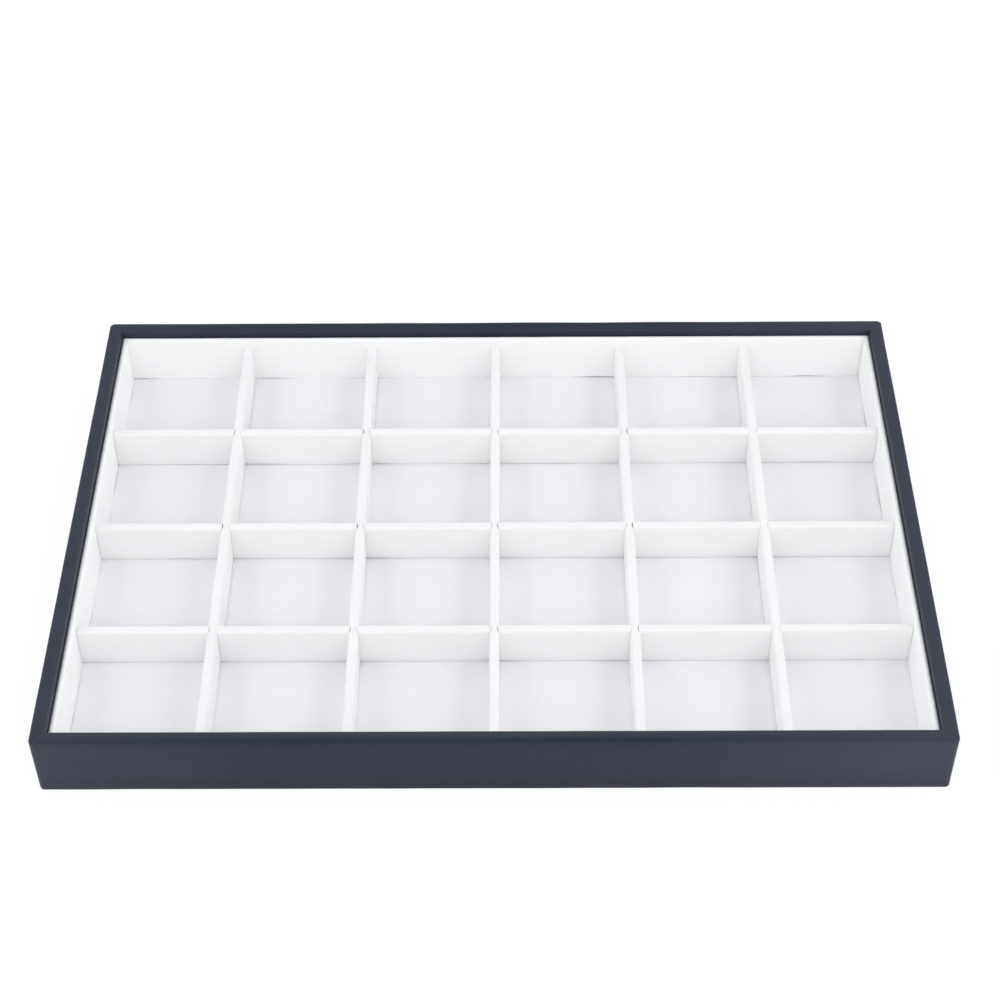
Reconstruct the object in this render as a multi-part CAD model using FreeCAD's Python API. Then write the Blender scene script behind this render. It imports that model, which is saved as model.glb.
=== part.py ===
import FreeCAD, Part
import math
import os

# A stackable jewelry tray: a wrapped board case, a lined well and a lift-out grid of padded dividers.
# Millimetres. +X is the long way, +Y goes to the back, +Z is up, and the origin lies under the middle.

# Overall size
TRAY_LENGTH = 350.0
TRAY_DEPTH = 240.0
TRAY_HEIGHT = 30.0

# Case boards
WALL_BOARD = 5.0
WALL_EDGE_ROUND = 0.3
WALL_CORNER_ROUND = 1.5
BASE_BOARD = 1.5
BASE_LIP = 2.0          # wall left outside the base board
CORNER_LIP = 2.3        # long wall left outside the end of a side wall

# Corner brads
BRAD_DIAMETER = 1.0
BRAD_LENGTH = 12.0
BRAD_HEAD_DIAMETER = 1.8
BRAD_HEAD = 0.4
BRAD_HEIGHT_SHARES = (0.28, 0.72)

# Leatherette wrap of the case
WRAP_SKIN = 0.5
WRAP_TURN_IN = 14.0     # reach down the inside of the walls
WRAP_HEM = 12.0         # reach under the base
SEAM_FROM_END = 32.0    # butt seam on the rear wall, from the left end
SEAM_GAP = 0.2

# Felt under the base
BASE_FELT = 0.5
FELT_MARGIN = 3.0
HEM_CLEAR = 0.2         # felt pad to hem edge

# Floor panel
FLOOR_CARD = 0.6
FLOOR_LINING = 0.4
FLOOR_CLEAR = 0.2       # floor panel to wall boards

# Liner panels around the well
LINER_BOARD = 1.6
LINER_SKIN = 0.5
LINER_ROUND = 0.9
LINER_STEP = 3.4        # rim down to the liner's top
LINER_CLEAR = 0.1       # end of a liner panel to what it butts on

# Padded dividers
CELLS_ALONG = 6
CELLS_ACROSS = 4
DIVIDER_THICK = 4.0
DIVIDER_HEIGHT = 18.7
DIVIDER_BOARD = 1.3
DIVIDER_TOP_PAD = 1.2   # cover over the board's top edge
DIVIDER_ROUND = 1.1
PINCHED_COVER = 0.2     # cover on each side of the board in the middle of a crossing
PINCH_RADIUS = 6.0      # hollow that a crossing draws into the cover
SLOT_CLEAR = 0.2        # drawn-in cover to the slot's side
LAP_CLEAR = 0.3         # between the ends of two slots that meet
SEAT_CLEAR = 0.2        # dividers to floor
END_CLEAR = 0.3         # dividers to liner panels

# Working values
OVERRUN = 5.0           # how far a cutting shape runs past what it cuts
SAME_PLACE = 0.001      # two places closer than this are one
FILLET_LIMIT_SHARE = 0.45

# Heights from the surface that the tray stands on
hem_low = BASE_FELT
board_low = hem_low + WRAP_SKIN
base_top = board_low + BASE_BOARD
card_top = base_top + FLOOR_CARD
floor_top = card_top + FLOOR_LINING
board_top = TRAY_HEIGHT - WRAP_SKIN
liner_top = TRAY_HEIGHT - LINER_STEP
divider_low = floor_top + SEAT_CLEAR
divider_top = floor_top + DIVIDER_HEIGHT
lap_height = (divider_low + divider_top) / 2

# Plan sizes, each full width
board_length = TRAY_LENGTH - 2 * WRAP_SKIN
board_depth = TRAY_DEPTH - 2 * WRAP_SKIN
hollow_length = board_length - 2 * WALL_BOARD
hollow_depth = board_depth - 2 * WALL_BOARD
mouth_length = hollow_length - 2 * WRAP_SKIN
mouth_depth = hollow_depth - 2 * WRAP_SKIN
liner_thick = LINER_BOARD + 2 * LINER_SKIN
well_length = mouth_length - 2 * liner_thick
well_depth = mouth_depth - 2 * liner_thick
cell_length = (well_length - (CELLS_ALONG - 1) * DIVIDER_THICK) / CELLS_ALONG
cell_depth = (well_depth - (CELLS_ACROSS - 1) * DIVIDER_THICK) / CELLS_ACROSS

# Crossings: a slot takes the drawn-in waist of the divider that passes through it
waist_half = DIVIDER_BOARD / 2 + PINCHED_COVER
waist_spread = PINCH_RADIUS - math.sqrt(PINCH_RADIUS ** 2 - (DIVIDER_THICK / 2) ** 2)
slot_width = 2 * (waist_half + waist_spread + SLOT_CLEAR)
cross_places = [(k - CELLS_ALONG / 2) * (cell_length + DIVIDER_THICK) for k in range(1, CELLS_ALONG)]
long_places = [(k - CELLS_ACROSS / 2) * (cell_depth + DIVIDER_THICK) for k in range(1, CELLS_ACROSS)]


def slab(length, depth, low, high, x=0, y=0):
    """A block centred on x, y that stands from low to high."""
    corner = FreeCAD.Vector(x - length / 2, y - depth / 2, low)
    return Part.makeBox(length, depth, high - low, corner)


def edges_at(shape, height):
    """The level edges of a shape at one height."""
    def level(edge):
        box = edge.BoundBox
        return abs(box.ZMin - height) < SAME_PLACE and abs(box.ZMax - height) < SAME_PLACE
    return [edge for edge in shape.Edges if level(edge)]


def upright_edges(shape):
    """The straight edges that run the whole height of a shape."""
    height = shape.BoundBox.ZLength
    return [edge for edge in shape.Edges if abs(edge.BoundBox.ZLength - height) < SAME_PLACE]


def case_ring(length, depth, low, high, mouth, mouth_low, corner_round, edge_round):
    """A rounded block with a sharp-cornered mouth, soft along both sides of its rim and its lower edge."""
    block = slab(length, depth, low, high)
    block = block.makeFillet(corner_round, upright_edges(block))
    block = block.makeFillet(edge_round, edges_at(block, high) + edges_at(block, low))
    mouth_x, mouth_y = mouth
    ring = block.cut(slab(mouth_x, mouth_y, mouth_low, high + OVERRUN))
    inner = [
        edge for edge in edges_at(ring, high)
        if edge.BoundBox.XMax < mouth_x / 2 + SAME_PLACE and edge.BoundBox.YMax < mouth_y / 2 + SAME_PLACE
        and edge.BoundBox.XMin > -mouth_x / 2 - SAME_PLACE and edge.BoundBox.YMin > -mouth_y / 2 - SAME_PLACE
    ]
    return ring.makeFillet(edge_round, inner)


def make_brads():
    """Two brads at each corner, driven through the long wall into the end of the side wall."""
    lying = FreeCAD.Vector(0, 1, 0)
    brads = []
    for side_x in (-1, 1):
        for side_y in (-1, 1):
            for share in BRAD_HEIGHT_SHARES:
                height = board_low + share * (board_top - board_low)
                outer = FreeCAD.Vector(side_x * (board_length - WALL_BOARD) / 2, side_y * board_depth / 2, height)
                inward = lying * -side_y
                head = Part.makeCylinder(BRAD_HEAD_DIAMETER / 2, BRAD_HEAD, outer, inward)
                shank = Part.makeCylinder(BRAD_DIAMETER / 2, BRAD_LENGTH, outer, inward)
                brads.append(head.fuse(shank).removeSplitter())
    return Part.makeCompound(brads)


def make_case():
    """The four wall boards, the base board, the brads, the wrap and the felt."""
    boards = case_ring(
        board_length, board_depth, board_low, board_top, (hollow_length, hollow_depth), board_low - OVERRUN,
        WALL_CORNER_ROUND, WALL_EDGE_ROUND,
    )
    base = slab(board_length - 2 * BASE_LIP, board_depth - 2 * BASE_LIP, board_low, base_top)
    brads = make_brads()
    rebated = boards.cut(base)
    end_depth = board_depth - 2 * CORNER_LIP
    nodes = {"base_board": base, "corner_brads": brads}
    ends = []
    for name, side in (("left", -1), ("right", 1)):
        place = side * (board_length - WALL_BOARD) / 2
        end = rebated.common(slab(WALL_BOARD, end_depth, board_low, board_top, place))
        ends.append(end)
        nodes[name + "_wall_board"] = end.cut(brads)
    for name, side in (("front", -1), ("rear", 1)):
        place = side * (board_depth - WALL_BOARD) / 2
        wall = rebated.common(slab(board_length, WALL_BOARD, board_low, board_top, 0, place))
        nodes[name + "_wall_board"] = wall.cut(Part.makeCompound(ends)).cut(brads)
    nodes["outer_wrap"] = make_wrap()
    sheet = slab(TRAY_LENGTH - 2 * FELT_MARGIN, TRAY_DEPTH - 2 * FELT_MARGIN, 0, BASE_FELT)
    pad_margin = WRAP_HEM + HEM_CLEAR
    pad = slab(TRAY_LENGTH - 2 * pad_margin, TRAY_DEPTH - 2 * pad_margin, 0, board_low)
    nodes["base_felt"] = sheet.fuse(pad).removeSplitter()
    return nodes


def make_wrap():
    """One strip of leatherette round the walls, over the rim, turned in and turned under, with a butt seam."""
    wrap = case_ring(
        TRAY_LENGTH, TRAY_DEPTH, hem_low, TRAY_HEIGHT, (mouth_length, mouth_depth), board_low,
        WALL_CORNER_ROUND + WRAP_SKIN, WALL_EDGE_ROUND + WRAP_SKIN,
    )
    hidden = case_ring(
        board_length, board_depth, board_low, board_top, (hollow_length, hollow_depth), board_low - OVERRUN,
        WALL_CORNER_ROUND, WALL_EDGE_ROUND,
    )
    wrap = wrap.cut(hidden)
    wrap = wrap.cut(slab(hollow_length, hollow_depth, board_low, TRAY_HEIGHT - WRAP_TURN_IN))
    wrap = wrap.cut(slab(TRAY_LENGTH - 2 * WRAP_HEM, TRAY_DEPTH - 2 * WRAP_HEM, hem_low - OVERRUN, board_low))
    seam_x = SEAM_FROM_END - TRAY_LENGTH / 2
    seam = slab(SEAM_GAP, TRAY_DEPTH / 2, -OVERRUN, TRAY_HEIGHT + OVERRUN, seam_x, TRAY_DEPTH / 2)
    return wrap.cut(seam)


def covered_board(length, thick, low, high, board_thick, top_skin, edge_round):
    """A board standing along X at the origin, and the cover that goes up one side, over it and down the other."""
    board = slab(length, board_thick, low, high - top_skin)
    block = slab(length, thick, low, high)
    along = [edge for edge in edges_at(block, high) if edge.BoundBox.XLength > length / 2]
    block = block.makeFillet(min(edge_round, FILLET_LIMIT_SHARE * thick), along)
    return board, block.cut(board)


def placed(shape, x, y, turn=0):
    """A copy of a shape turned about the upright axis and moved to its place."""
    copy = shape.copy()
    copy.rotate(FreeCAD.Vector(0, 0, 0), FreeCAD.Vector(0, 0, 1), turn)
    copy.translate(FreeCAD.Vector(x, y, 0))
    return copy


def make_well():
    """The floor panel, and the four covered liner panels that stand on it."""
    panel = (hollow_length - 2 * FLOOR_CLEAR, hollow_depth - 2 * FLOOR_CLEAR)
    nodes = {
        "floor_card": slab(*panel, base_top, card_top),
        "floor_lining": slab(*panel, card_top, floor_top),
    }
    long_run = mouth_length - 2 * LINER_CLEAR
    end_run = well_depth - 2 * LINER_CLEAR
    quarter_turn = 90
    for name, run, x_side, y_side in (
        ("front", long_run, 0, -1), ("rear", long_run, 0, 1), ("left", end_run, -1, 0), ("right", end_run, 1, 0),
    ):
        board, cover = covered_board(
            run, liner_thick, floor_top, liner_top, LINER_BOARD, LINER_SKIN, LINER_ROUND)
        x = x_side * (mouth_length - liner_thick) / 2
        y = y_side * (mouth_depth - liner_thick) / 2
        turn = quarter_turn * abs(x_side)
        nodes[name + "_liner_board"] = placed(board, x, y, turn)
        nodes[name + "_liner_cover"] = placed(cover, x, y, turn)
    return nodes


def make_divider(length, crossings, slot_low, slot_high, pinch_low, pinch_high):
    """A padded divider along X, slotted at its crossings and drawn in where another divider grips it."""
    board, cover = covered_board(
        length, DIVIDER_THICK, divider_low, divider_top, DIVIDER_BOARD, DIVIDER_TOP_PAD, DIVIDER_ROUND)
    for place in crossings:
        slot = slab(slot_width, DIVIDER_THICK + 2 * OVERRUN, slot_low, slot_high, place)
        board = board.cut(slot)
        cover = cover.cut(slot)
        for side in (-1, 1):
            axis_foot = FreeCAD.Vector(place, side * (PINCH_RADIUS + waist_half), pinch_low)
            cover = cover.cut(Part.makeCylinder(PINCH_RADIUS, pinch_high - pinch_low, axis_foot))
    return board, cover


def make_dividers():
    """Long dividers slotted from above, and cross dividers slotted from below that drop into them."""
    nodes = {}
    under = divider_low - OVERRUN
    over = divider_top + OVERRUN
    half_lap = LAP_CLEAR / 2
    quarter_turn = 90
    board, cover = make_divider(
        well_length - 2 * END_CLEAR, cross_places, lap_height - half_lap, over, under, lap_height + half_lap)
    row_names = ("front", "middle", "rear")
    for k, place in enumerate(long_places):
        name = "long_divider_" + (row_names[k] if len(long_places) == len(row_names) else str(k + 1))
        nodes[name + "_board"] = placed(board, 0, place)
        nodes[name + "_cover"] = placed(cover, 0, place)
    board, cover = make_divider(
        well_depth - 2 * END_CLEAR, long_places, under, lap_height + half_lap, under, over)
    for k, place in enumerate(cross_places):
        name = "cross_divider_" + str(k + 1)
        nodes[name + "_board"] = placed(board, place, 0, quarter_turn)
        nodes[name + "_cover"] = placed(cover, place, 0, quarter_turn)
    return nodes


def main():
    os.makedirs("parts", exist_ok=True)
    nodes = {**make_case(), **make_well(), **make_dividers()}
    for name, shape in nodes.items():
        shape.exportStep("parts/" + name + ".step")
        print(name, len(shape.Solids), "solids", round(shape.Volume, 1), "mm3", shape.isValid())
    print("compartment", round(cell_length, 2), "by", round(cell_depth, 2), "mm, slot", round(slot_width, 2), "mm")


main()
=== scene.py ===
# %% [markdown]
# # A jewelry tray, dressed around its CAD frame
# The tray is a low board case wrapped in dark leatherette, with a white lined well and a lift-out grid of
# padded dividers. The CAD frame has every piece at its real size, so nothing here has to be measured again:
# each soft piece is modelled in the space that its CAD solid holds, and each hard piece keeps its solid.

# %% Load the frame
import math

import bmesh
import bpy
from mathutils import Matrix, Vector, noise


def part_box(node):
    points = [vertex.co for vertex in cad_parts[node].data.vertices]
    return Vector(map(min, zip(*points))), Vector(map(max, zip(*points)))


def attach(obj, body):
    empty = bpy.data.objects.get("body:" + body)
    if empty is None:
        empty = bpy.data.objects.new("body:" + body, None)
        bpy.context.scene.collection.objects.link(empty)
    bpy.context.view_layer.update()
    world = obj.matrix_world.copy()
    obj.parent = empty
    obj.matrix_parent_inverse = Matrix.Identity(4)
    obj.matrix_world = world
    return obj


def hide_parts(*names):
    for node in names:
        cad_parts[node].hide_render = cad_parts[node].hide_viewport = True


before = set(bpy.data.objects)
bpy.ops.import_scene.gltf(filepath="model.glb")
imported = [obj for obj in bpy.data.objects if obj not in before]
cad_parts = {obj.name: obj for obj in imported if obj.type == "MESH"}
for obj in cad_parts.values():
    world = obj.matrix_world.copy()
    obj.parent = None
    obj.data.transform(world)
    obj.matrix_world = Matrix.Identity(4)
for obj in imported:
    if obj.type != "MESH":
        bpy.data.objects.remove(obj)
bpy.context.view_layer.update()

scene = bpy.context.scene

# %% [markdown]
# ## The camera
# A long lens stands in front of the tray and looks down at it by about half a right angle. Its place was
# found by lining up the tray's corners and the divider lines with the photograph. The camera is built from
# turns about its own axes, because then each number means something: look down, turn aside, tilt.

# %% Camera
PHOTO_PIXELS = 1000
FOCAL_PIXELS = 2105.0
SENSOR_MM = 36.0
CAMERA_PLACE = Vector((0.00715, -0.6056, 0.657))
LOOK_DOWN = math.radians(45.68)
TURN_ASIDE = math.radians(0.46)
TILT = math.radians(-0.54)

lens = bpy.data.cameras.new("photo_camera")
lens.sensor_width = SENSOR_MM
lens.lens = FOCAL_PIXELS / PHOTO_PIXELS * SENSOR_MM
camera = bpy.data.objects.new("photo_camera", lens)
scene.collection.objects.link(camera)
camera.matrix_world = (
    Matrix.Translation(CAMERA_PLACE)
    @ Matrix.Rotation(TURN_ASIDE, 4, "Z")
    @ Matrix.Rotation(math.pi / 2 - LOOK_DOWN, 4, "X")
    @ Matrix.Rotation(TILT, 4, "Z")
)
scene.camera = camera
scene.view_settings.view_transform = "Standard"
print("lens", round(lens.lens, 2), "mm")

# %% [markdown]
# ## Helpers for nodes
# Materials, the world and the table are all node trees. Small helpers keep them readable: one feeds an input
# with a plain value or with another node's output, and one adds a node and feeds its inputs by name.

# %% Node helpers
def join(tree, value, target):
    """Feed an input with another node's output, or with a plain value."""
    if isinstance(value, bpy.types.NodeSocket):
        tree.links.new(value, target)
    else:
        target.default_value = value


def add(tree, kind, settings=None, **inputs):
    """A new node of a kind, with its settings made and its named inputs fed."""
    node = tree.nodes.new("ShaderNode" + kind)
    for name, value in (settings or {}).items():
        setattr(node, name, value)
    for name, value in inputs.items():
        join(tree, value, node.inputs[name.replace("_", " ")])
    return node


def maths(tree, operation, first, second, clamp=False):
    """A Math node fed by sockets or plain numbers."""
    node = add(tree, "Math", {"operation": operation, "use_clamp": clamp})
    join(tree, first, node.inputs[0])
    join(tree, second, node.inputs[1])
    return node.outputs["Value"]


print("node helpers ready")

# %% [markdown]
# ## The studio
# The photograph is a catalogue shot: a white table, pale walls and a long soft light at each side, the right
# one a little stronger. The surround is white near the horizon and dimmer and cooler overhead. That matters,
# because a dark satin rim shows what stands above and behind it.

# %% Surround
SMOOTH = {"interpolation_type": "SMOOTHSTEP"}
WALL_LIGHT = 1.0
CEILING_LIGHT = 0.17
CEILING_TINT = (0.8, 0.9, 1.0)
WALL_TOP = (0.15, 0.8)     # heights on a unit sphere between which the walls give way to the ceiling

world = bpy.data.worlds.new("studio_surround")
scene.world = world
world.use_nodes = True
surround = world.node_tree
surround.nodes.clear()
way = add(surround, "SeparateXYZ", Vector=add(surround, "TexCoord").outputs["Object"])
rise = add(surround, "MapRange", SMOOTH, Value=way.outputs["Z"], From_Min=WALL_TOP[0], From_Max=WALL_TOP[1])
walls = add(surround, "Background", Color=(1.0, 1.0, 1.0, 1.0), Strength=WALL_LIGHT)
ceiling = add(surround, "Background", Color=CEILING_TINT + (1.0,), Strength=CEILING_LIGHT)
blend = add(surround, "MixShader", Fac=rise.outputs["Result"])
join(surround, walls.outputs["Background"], blend.inputs[1])
join(surround, ceiling.outputs["Background"], blend.inputs[2])
add(surround, "OutputWorld", Surface=blend.outputs["Shader"])
print("walls", WALL_LIGHT, "ceiling", CEILING_LIGHT)

# %% [markdown]
# ## The table
# A white table in even light still renders a little grey, most of all close to the tray. To rays that come
# from the camera, a reflection or a clear material it shows a glow with a share of real shading on top, so it
# reads as white and keeps a faint shadow. To all other light it is a plain white sheet.

# %% Table
TABLE_SIZE = 12.0
TABLE_SHADE = 0.9          # how much of the light the table throws back
TABLE_GLOW = 0.9
SHADOW_SHARE = 0.13        # share of the table's brightness that a shadow can take away
TABLE_DROP = 0.00005       # how far it lies under the tray, so that no two faces coincide


def new_object(bm, name, finish):
    """An object in the scene from a bmesh, with one finish."""
    mesh = bpy.data.meshes.new(name)
    bm.to_mesh(mesh)
    bm.free()
    mesh.materials.append(finish)
    piece = bpy.data.objects.new(name, mesh)
    scene.collection.objects.link(piece)
    return piece


def seen_directly(tree):
    """1 for rays from the camera, a reflection or a clear material, and 0 for light on its way."""
    path = add(tree, "LightPath").outputs
    seen = maths(tree, "ADD", path["Is Camera Ray"], path["Is Glossy Ray"], clamp=True)
    return maths(tree, "ADD", seen, path["Is Transmission Ray"], clamp=True)


table_stuff = bpy.data.materials.new("white_table")
table_stuff.use_nodes = True
tree = table_stuff.node_tree
tree.nodes.clear()
plain = add(tree, "BsdfDiffuse", Color=(TABLE_SHADE,) * 3 + (1.0,))
shaded = add(tree, "BsdfDiffuse", Color=(SHADOW_SHARE,) * 3 + (1.0,))
glow = add(tree, "Emission", Color=(1.0, 1.0, 1.0, 1.0), Strength=TABLE_GLOW)
lit = add(tree, "AddShader")
join(tree, shaded.outputs["BSDF"], lit.inputs[0])
join(tree, glow.outputs["Emission"], lit.inputs[1])
choice = add(tree, "MixShader", Fac=seen_directly(tree))
join(tree, plain.outputs["BSDF"], choice.inputs[1])
join(tree, lit.outputs["Shader"], choice.inputs[2])
add(tree, "OutputMaterial", Surface=choice.outputs["Shader"])

bm = bmesh.new()
bmesh.ops.create_grid(bm, x_segments=1, y_segments=1, size=TABLE_SIZE / 2)
bmesh.ops.translate(bm, vec=(0, 0, -TABLE_DROP), verts=bm.verts)
table = new_object(bm, "table", table_stuff)
print("table", TABLE_SIZE, "m wide")

# %% [markdown]
# ## The lamps
# Two long softboxes stand at the sides, and two weaker fills hang above the camera and behind the tray, so
# that the faces and floors of the compartments are nearly as bright as the tops. The fills cast no
# reflections: a dark satin edge would show them as hard bright lines, which the photograph does not have.

# %% Soft lights
LIGHT_LENGTH = 1.5
LIGHT_HEIGHT = 0.8
LIGHT_PLACES = {
    "left_softbox": (Vector((-0.95, -0.1, 0.9)), 6.4),
    "right_softbox": (Vector((0.95, -0.1, 0.9)), 7.3),
    "front_fill": (Vector((0.0, -1.0, 1.05)), 5.7),
    "rear_fill": (Vector((0.0, 1.0, 1.05)), 2.9),
}
for name, (place, watts) in LIGHT_PLACES.items():
    lamp = bpy.data.lights.new(name, "AREA")
    lamp.shape = "RECTANGLE"
    lamp.size = LIGHT_LENGTH
    lamp.size_y = LIGHT_HEIGHT
    lamp.energy = watts
    softbox = bpy.data.objects.new(name, lamp)
    scene.collection.objects.link(softbox)
    softbox.matrix_world = Matrix.Translation(place) @ (-place).to_track_quat("-Z", "Y").to_matrix().to_4x4()
    softbox.visible_glossy = name.endswith("softbox")
    print(name, watts, "W")

# %% [markdown]
# ## Shared surface effects
# Three effects turn up in several finishes, so each is a node group. Leatherette has a pressed pebble grain:
# a cell pattern with soft valleys. Cloudy tone is the slow change of shade that any real sheet has. Fibre
# speckle is the mixed short fibres of board and felt. Each group gives numbers that vary over the surface,
# and the finish decides what they do.

# %% Group builder
def new_group(name, inputs, output):
    """An empty shader group, read at a vector: its tree, and its input and output nodes."""
    group = bpy.data.node_groups.new(name, "ShaderNodeTree")
    for label, kind in {"Vector": "Vector", **inputs}.items():
        group.interface.new_socket(label, in_out="INPUT", socket_type="NodeSocket" + kind)
    group.interface.new_socket(output, in_out="OUTPUT", socket_type="NodeSocketFloat")
    return group, group.nodes.new("NodeGroupInput"), group.nodes.new("NodeGroupOutput")


def use_group(tree, group, vector, **inputs):
    """Place a group in a material, read at a vector."""
    return add(tree, "Group", {"node_tree": group}, Vector=vector, **inputs).outputs


print("group builder ready")

# %% Pebble grain
WARP_SCALE = 0.5           # scale of the noise that bends the cells, as a share of their own
WARP_REACH = 0.6           # how far it bends them, as a share of a cell

pebble_grain, given, put = new_group("pebble_grain", {"Cells per metre": "Float"}, "Height")
per_metre = given.outputs["Cells per metre"]
warp_scale = maths(pebble_grain, "MULTIPLY", per_metre, WARP_SCALE)
warp = add(pebble_grain, "TexNoise", Vector=given.outputs["Vector"], Scale=warp_scale, Detail=1.0)
reach = maths(pebble_grain, "DIVIDE", WARP_REACH, per_metre)
bend = add(pebble_grain, "VectorMath", {"operation": "SCALE"}, Vector=warp.outputs["Color"], Scale=reach)
bent = add(pebble_grain, "VectorMath", {"operation": "ADD"}, Vector=given.outputs["Vector"])
join(pebble_grain, bend.outputs["Vector"], bent.inputs[1])
cells = add(
    pebble_grain, "TexVoronoi", {"feature": "SMOOTH_F1"}, Vector=bent.outputs["Vector"], Scale=per_metre,
    Smoothness=0.35)
pebbles = maths(pebble_grain, "SUBTRACT", 1.0, cells.outputs["Distance"], clamp=True)
join(pebble_grain, pebbles, put.inputs["Height"])
print("pebble grain:", len(pebble_grain.nodes), "nodes")

# %% Cloudy tone
cloudy_tone, given, put = new_group("cloudy_tone", {"Clouds per metre": "Float"}, "Tone")
clouds = add(
    cloudy_tone, "TexNoise", Vector=given.outputs["Vector"], Scale=given.outputs["Clouds per metre"],
    Detail=4.0, Roughness=0.55)
stretch = add(cloudy_tone, "MapRange", Value=clouds.outputs["Fac"], From_Min=0.3, From_Max=0.7)
join(cloudy_tone, stretch.outputs["Result"], put.inputs["Tone"])
print("cloudy tone:", len(cloudy_tone.nodes), "nodes")

# %% Fibre speckle
speckle_inputs = {"Fibres per metre": "Float", "Stretch": "Vector"}
fibre_speckle, given, put = new_group("fibre_speckle", speckle_inputs, "Speckle")
drawn_out = add(fibre_speckle, "VectorMath", {"operation": "MULTIPLY"}, Vector=given.outputs["Vector"])
join(fibre_speckle, given.outputs["Stretch"], drawn_out.inputs[1])
fibres = add(
    fibre_speckle, "TexNoise", Vector=drawn_out.outputs["Vector"], Scale=given.outputs["Fibres per metre"],
    Detail=5.0, Roughness=0.7, Distortion=0.6)
stretch = add(fibre_speckle, "MapRange", Value=fibres.outputs["Fac"], From_Min=0.32, From_Max=0.68)
join(fibre_speckle, stretch.outputs["Result"], put.inputs["Speckle"])
print("fibre speckle:", len(fibre_speckle.nodes), "nodes")

# %% [markdown]
# ## Finishes
# A finish is a Principled shader with its base colour, roughness and bump driven by the groups. Values that
# are the same all over stay on the shader's own sockets. Every pattern reads Object coordinates, which are
# metres here, so a grain of 0.6 mm is about 1700 cells per metre.

# %% Finish helpers
def new_finish(name, **constants):
    """An empty material: itself, its tree, its shader and its Object coordinates."""
    finish = bpy.data.materials.new(name)
    finish.use_nodes = True
    tree = finish.node_tree
    tree.nodes.clear()
    shader = add(tree, "BsdfPrincipled", **constants)
    add(tree, "OutputMaterial", Surface=shader.outputs["BSDF"])
    return finish, tree, shader, add(tree, "TexCoord").outputs["Object"]


def shade_between(tree, mask, low, high):
    """A colour that goes from low to high as a mask goes from 0 to 1."""
    node = add(tree, "Mix", {"data_type": "RGBA"}, Factor=mask)
    # of a Mix node's many sockets, these are for colours
    for socket, colour in ((node.inputs[6], low), (node.inputs[7], high)):
        opaque = colour + (1.0,) if isinstance(colour, tuple) else colour
        join(tree, opaque, socket)
    return node.outputs[2]


def span(tree, mask, low, high):
    """A number that goes from low to high as a mask goes from 0 to 1."""
    return add(tree, "MapRange", Value=mask, To_Min=low, To_Max=high).outputs["Result"]


def weighed(tree, first, second, share):
    """Two masks in one: the first with a share, the second with the rest."""
    rest = maths(tree, "MULTIPLY", second, 1 - share)
    return maths(tree, "ADD", maths(tree, "MULTIPLY", first, share), rest)


def coat(tree, shader, colour, roughness, height, depth, strength):
    """Give a shader its colour and roughness, and a bump by a height mask, its depth in metres."""
    raised = add(tree, "Bump", Height=height, Strength=strength, Distance=depth)
    join(tree, colour, shader.inputs["Base Color"])
    join(tree, roughness, shader.inputs["Roughness"])
    join(tree, raised.outputs["Normal"], shader.inputs["Normal"])


print("finish helpers ready")

# %% [markdown]
# ### Dark leatherette
# The case is covered in blue-black coated cloth with a pressed grain. Its two ends are painted paler, as
# painted light where they catch more of the lamps; its inner rim is paler from wear and a painted highlight;
# the foot of the walls is painted darker, as painted shade near the table. One colour would look like
# plastic, so the shades are mixed in layers: body, painted light at the ends, worn and highlighted rim,
# painted shade at the foot. The rim's wear and highlight is an attribute of the mesh, because only the mesh
# knows where its rim is.

# %% Dark leatherette
BODY_SHADES = ((0.017, 0.023, 0.039), (0.028, 0.034, 0.053))
BODY_CLOUDS = 0.5                    # share of the shade that the slow tone decides, and not the grain
# painted light: the two ends are painted paler, where they would catch more of the lamps
PAINTED_LIGHT_SHADE = (0.048, 0.054, 0.078)
PAINTED_LIGHT_MIDDLE = -0.02                  # place along the tray between the two ends with painted light
PAINTED_LIGHT_FROM, PAINTED_LIGHT_TO = 0.065, 0.19     # distances from it where they start and are full
# the inner rim is paler partly from wear and partly as a painted highlight
WEAR_AND_HIGHLIGHT_SHADE = (0.047, 0.055, 0.064)
WEAR_AND_HIGHLIGHT_SHARE = 0.85                  # how much of that shade the most worn and highlighted spot takes
PATCHES = (0.75, 1.0)                # how strong the painted end light and the rim's wear and highlight are, from patch to patch
FOOT_SHADE_TOP = 0.013                     # height where the painted shade at the foot of the walls ends
# painted shade: the colour at the very foot is scaled down to this
FOOT_PAINTED_SHADE = 0.8


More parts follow.
